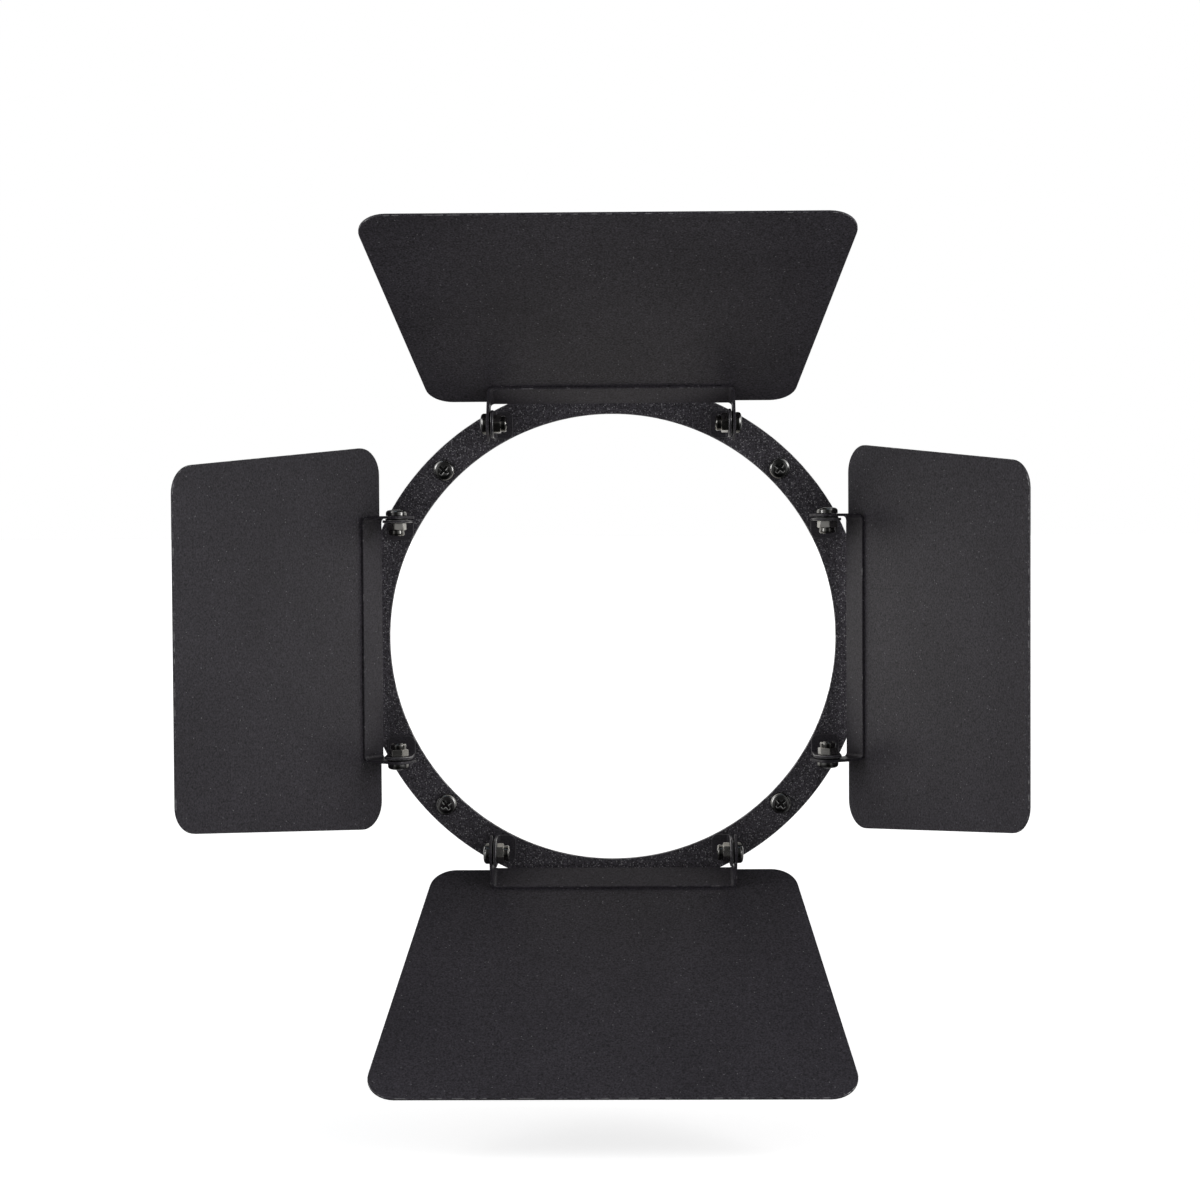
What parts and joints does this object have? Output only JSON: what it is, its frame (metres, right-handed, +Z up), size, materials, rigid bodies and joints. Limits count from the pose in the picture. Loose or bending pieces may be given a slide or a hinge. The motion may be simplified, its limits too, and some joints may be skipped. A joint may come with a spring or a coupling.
{
  "type": "barn door attachment",
  "caption": "Black sheet-metal barn door for a round stage light: a ring plate with hinged leaves on friction bolts.",
  "frame": {"origin": "centre of the light opening on the ring plate's rear face", "axes": "+Z up, +X right seen from the front, +Y towards the lamp; light leaves along -Y"},
  "size_m": [0.3534, 0.1336, 0.3626],
  "materials": {
    "textured_coat": "coarse textured black powder coat",
    "satin_coat": "fine-grain satin black powder coat",
    "bracket_coat": "fine-grain satin black powder coat",
    "lug_coat": "textured black powder coat",
    "black_zinc": "black zinc plate, semi-gloss",
    "nut_zinc": "black zinc plate worn bright on the flats",
    "nylon": "moulded black nylon"
  },
  "bodies": {
    "frame": {"ring_plate": "textured_coat", "plate_screws": "black_zinc", "top_lugs": "lug_coat", "top_bolts": "black_zinc", "top_washers": "nylon", "top_lock_nuts": "nut_zinc", "right_lugs": "lug_coat", "right_bolts": "black_zinc", "right_washers": "nylon", "right_lock_nuts": "nut_zinc", "bottom_lugs": "lug_coat", "bottom_bolts": "black_zinc", "bottom_washers": "nylon", "bottom_lock_nuts": "nut_zinc", "left_lugs": "lug_coat", "left_bolts": "black_zinc", "left_washers": "nylon", "left_lock_nuts": "nut_zinc", "nut_inserts": "nylon"},
    "top_door": {"top_leaf": "satin_coat", "top_bracket": "bracket_coat"},
    "right_door": {"right_leaf": "satin_coat", "right_bracket": "bracket_coat"},
    "bottom_door": {"bottom_leaf": "satin_coat", "bottom_bracket": "bracket_coat"},
    "left_door": {"left_leaf": "satin_coat", "left_bracket": "bracket_coat"}
  },
  "joints": [
    {"name": "top_hinge", "type": "hinge", "parent": "frame", "child": "top_door", "pos_m": [0, -0.019, 0.0965], "axis": [1, 0, 0], "range_deg": [-12.2, 101.5]},
    {"name": "right_hinge", "type": "hinge", "parent": "frame", "child": "right_door", "pos_m": [0.0965, -0.019, 0], "axis": [0, 0, -1], "range_deg": [-12.2, 119.3]},
    {"name": "bottom_hinge", "type": "hinge", "parent": "frame", "child": "bottom_door", "pos_m": [0, -0.019, -0.0965], "axis": [-1, 0, 0], "range_deg": [-7.9, 115.3]},
    {"name": "left_hinge", "type": "hinge", "parent": "frame", "child": "left_door", "pos_m": [-0.0965, -0.019, 0], "axis": [0, 0, 1], "range_deg": [-6.3, 126.4]}
  ]
}
